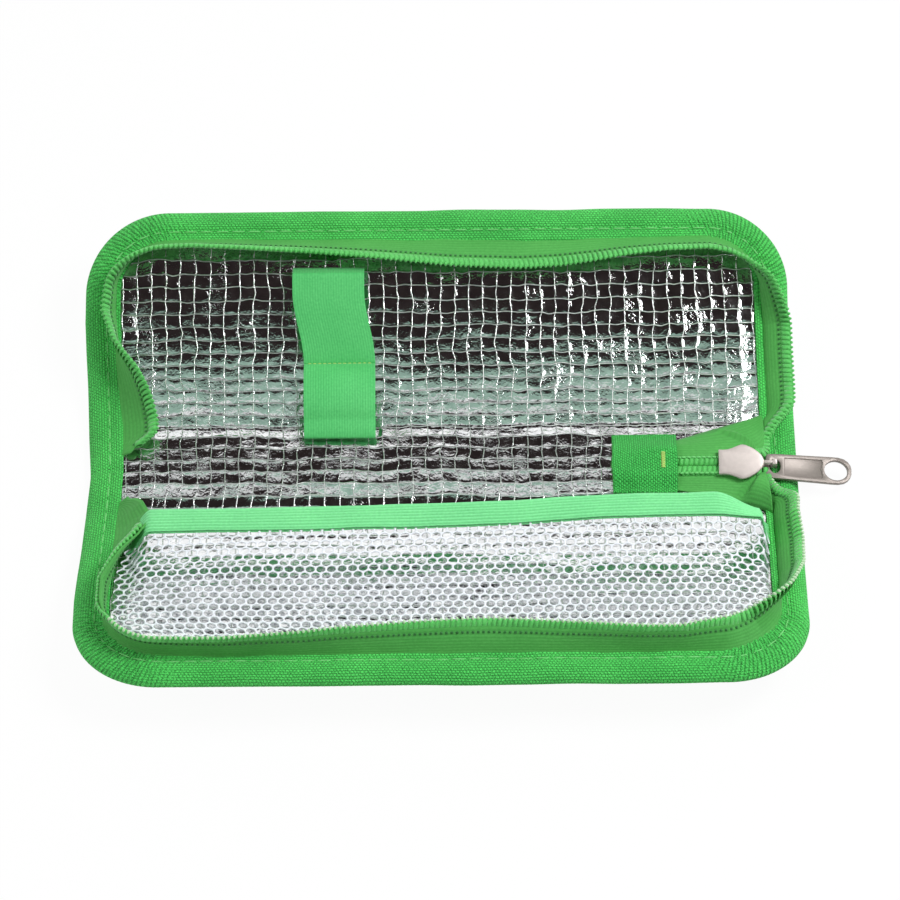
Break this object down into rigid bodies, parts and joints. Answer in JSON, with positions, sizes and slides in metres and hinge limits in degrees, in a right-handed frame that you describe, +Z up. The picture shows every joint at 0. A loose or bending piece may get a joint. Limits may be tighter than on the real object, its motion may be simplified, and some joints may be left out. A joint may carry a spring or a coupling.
{
  "type": "insulin cooling case",
  "caption": "Soft insulated zip case for insulin pens, lying open, with foil lining, net pocket, elastic pen loops, bound edge and a zipper with slider and pull.",
  "frame": {"origin": "centre of the flat underside of the spine", "axes": "X along the case, to the right as it is opened; Y from the base across the spine to the lid; Z up"},
  "size_m": [0.2193, 0.1592, 0.0308],
  "materials": {
    "outer_cloth": "woven polyester cloth, bright green",
    "webbing": "coarse woven binding, bright green",
    "foam": "closed-cell insulating foam, off-white",
    "foil": "crinkled metallised film with a square scrim grid",
    "zipper_tape": "smooth knitted zipper tape, light green",
    "zipper_coil": "nylon coil, light green",
    "net": "white knitted net",
    "pale_elastic": "pale green elastic hem",
    "green_elastic": "ribbed green elastic",
    "zipper_metal": "plated die-cast metal, bare of lettering"
  },
  "bodies": {
    "spine": {"spine_outer_panel": "outer_cloth", "spine_foam_pad": "foam", "spine_foil_lining": "foil", "spine_binding_left": "webbing", "spine_binding_right": "webbing", "zipper_end_tab": "webbing", "tail_tape_upper": "zipper_tape", "tail_tape_lower": "zipper_tape", "tail_coil_upper": "zipper_coil", "tail_coil_lower": "zipper_coil"},
    "base": {"base_outer_panel": "outer_cloth", "base_foam_pad": "foam", "base_foil_lining": "foil", "base_binding": "webbing", "base_zipper_tape": "zipper_tape", "base_zipper_coil": "zipper_coil", "mesh_pocket": "net", "pocket_elastic_hem": "pale_elastic"},
    "lid": {"lid_outer_panel": "outer_cloth", "lid_foam_pad": "foam", "lid_foil_lining": "foil", "lid_binding": "webbing", "lid_zipper_tape": "zipper_tape", "lid_zipper_coil": "zipper_coil", "elastic_pen_loops": "green_elastic"},
    "slider": {"slider_body": "zipper_metal", "lead_coil_upper": "zipper_coil", "lead_coil_lower": "zipper_coil"},
    "pull": {"pull_tab": "zipper_metal"}
  },
  "joints": [
    {"name": "base_fold", "type": "hinge", "parent": "spine", "child": "base", "pos_m": [0, -0.0145, 0], "axis": [-1, 0, 0], "range_deg": [-12.5, 77.5]},
    {"name": "lid_fold", "type": "hinge", "parent": "spine", "child": "lid", "pos_m": [0, 0.0145, 0], "axis": [1, 0, 0], "range_deg": [-6, 69]},
    {"name": "slider_slide", "type": "slide", "parent": "spine", "child": "slider", "axis": [1, 0, 0], "range_m": [-0.008, 0]},
    {"name": "pull_swing", "type": "hinge", "parent": "slider", "child": "pull", "pos_m": [0.093, 0, 0.00795], "axis": [0, -1, 0], "range_deg": [0, 30]}
  ]
}
